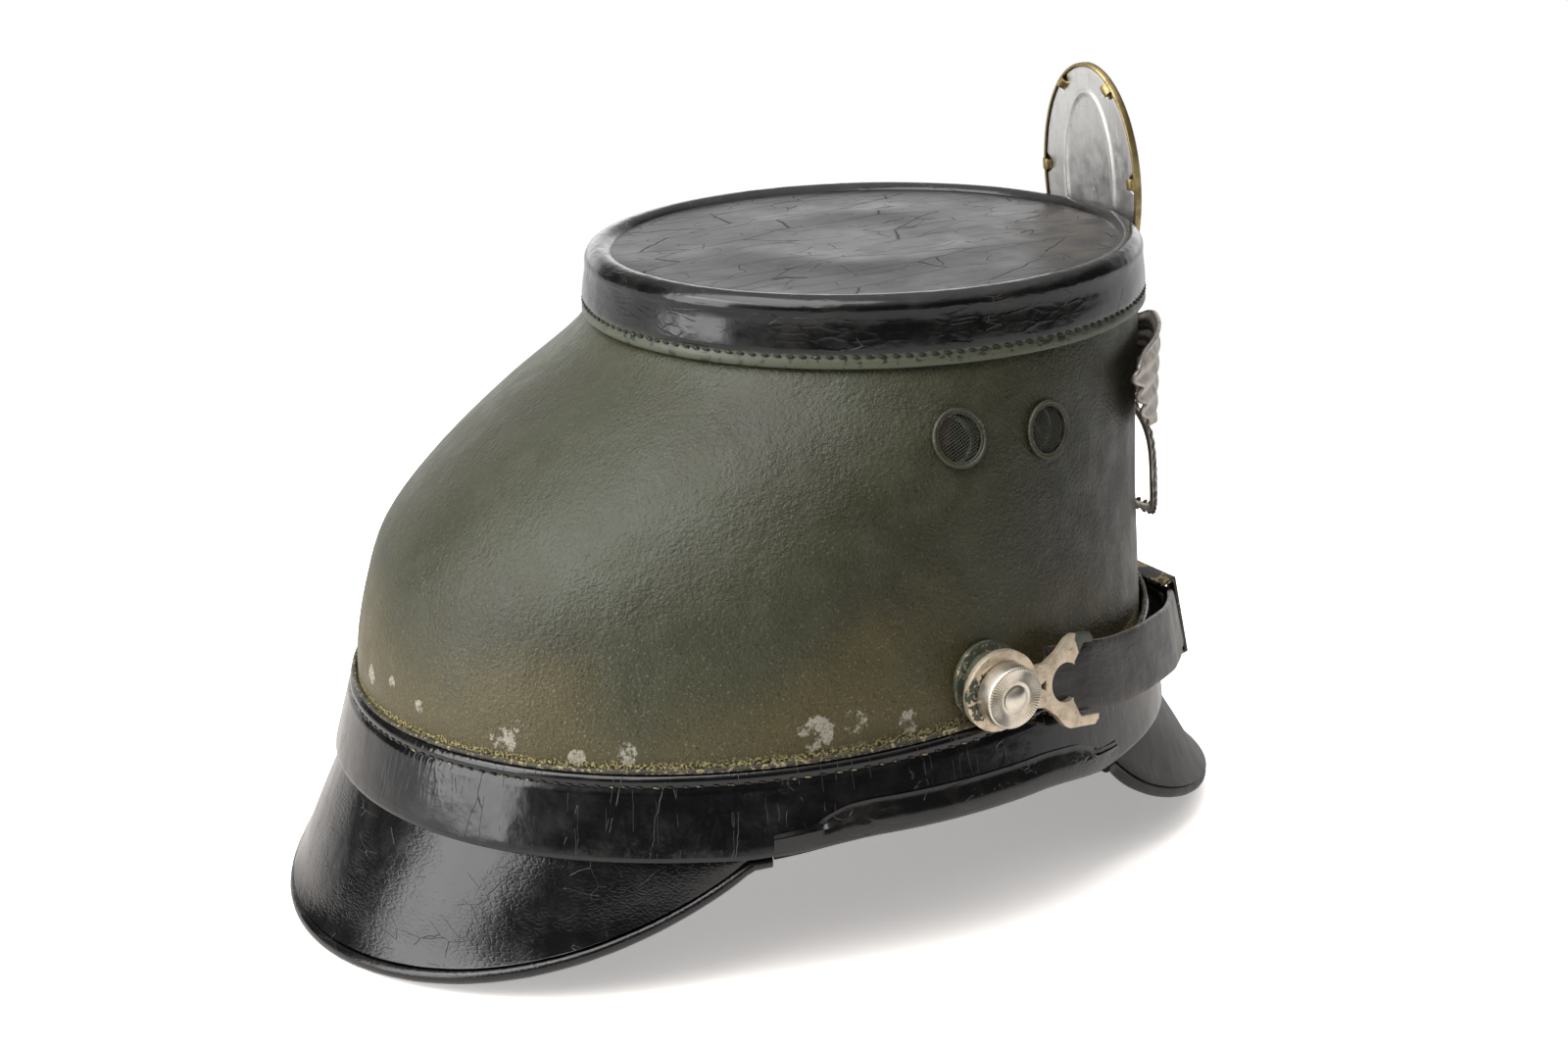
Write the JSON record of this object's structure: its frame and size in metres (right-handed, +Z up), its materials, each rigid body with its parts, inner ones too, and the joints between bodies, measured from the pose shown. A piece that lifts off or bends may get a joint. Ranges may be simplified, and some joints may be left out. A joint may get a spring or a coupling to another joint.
{
  "type": "shako",
  "caption": "Green shako with a leather crown, head band and two visors, a chinstrap on side posts, mesh vents, a fluted front plate with a garland, and an oval cockade.",
  "frame": {"origin": "middle of the footprint, on the table that the two visors' rims stand on", "axes": "+X towards the front visor, +Y towards the wearer's left, +Z up"},
  "size_m": [0.2544, 0.1932, 0.1896],
  "materials": {
    "painted shell": "satin painted moulded fibre",
    "black leather": "lacquered, cracked",
    "crown leather": "lacquered, dusty, cracked",
    "strap leather": "worn, greased",
    "green paint": "chipped paint",
    "piping": "painted cord",
    "mesh": "blackened wire mesh",
    "inner metal": "dull",
    "bright metal": "smooth, worn",
    "nickel": "worn nickel",
    "plate metal": "pressed, matt",
    "brass": "aged",
    "lining leather": "natural, worn",
    "felt": "felt"
  },
  "bodies": {
    "hat": {"shell": "painted shell", "crown_cap": "black leather", "crown_disc": "crown leather", "base_band": "black leather", "band_piping": "piping", "side_binding_right": "black leather", "side_binding_left": "black leather", "rear_visor": "black leather", "rear_visor_edge": "black leather", "front_visor": "black leather", "front_visor_edge": "black leather", "vent_grommets": "green paint", "vent_meshes": "mesh", "vent_rings": "inner metal", "post_washers": "green paint", "post_collars": "bright metal", "post_right": "bright metal", "post_left": "bright metal", "knob_domes": "bright metal", "post_nuts": "inner metal", "front_plate": "plate metal", "plate_wreath": "plate metal", "plate_boss": "plate metal", "plate_studs": "plate metal", "plate_nuts": "brass", "cockade_pocket": "strap leather", "sweatband": "lining leather", "felt_strip": "felt", "liner_tongues": "lining leather"},
    "chinstrap": {"strap_right": "strap leather", "strap_left": "strap leather", "strap_pins": "brass", "lug_right": "nickel", "lug_left": "nickel"},
    "right slider": {"slider_right": "brass"},
    "left slider": {"slider_left": "brass"},
    "cockade": {"cockade_back": "plate metal", "cockade_prongs": "brass", "cockade_front": "plate metal", "cockade_boss": "brass", "cockade_spike": "inner metal"}
  },
  "joints": [
    {"name": "chinstrap_swing", "type": "hinge", "parent": "hat", "child": "chinstrap", "pos_m": [0.0075, 0, 0.0655], "axis": [0, -1, 0], "range_deg": [0, 22]},
    {"name": "right_slider_slide", "type": "slide", "parent": "chinstrap", "child": "right slider", "axis": [0, 1, 0], "range_m": [-0.001, 0.005]},
    {"name": "left_slider_slide", "type": "slide", "parent": "chinstrap", "child": "left slider", "axis": [0, -1, 0], "range_m": [-0.001, 0.005]},
    {"name": "cockade_lift", "type": "slide", "parent": "hat", "child": "cockade", "axis": [0, 0, 1], "range_m": [0, 0.018]}
  ]
}
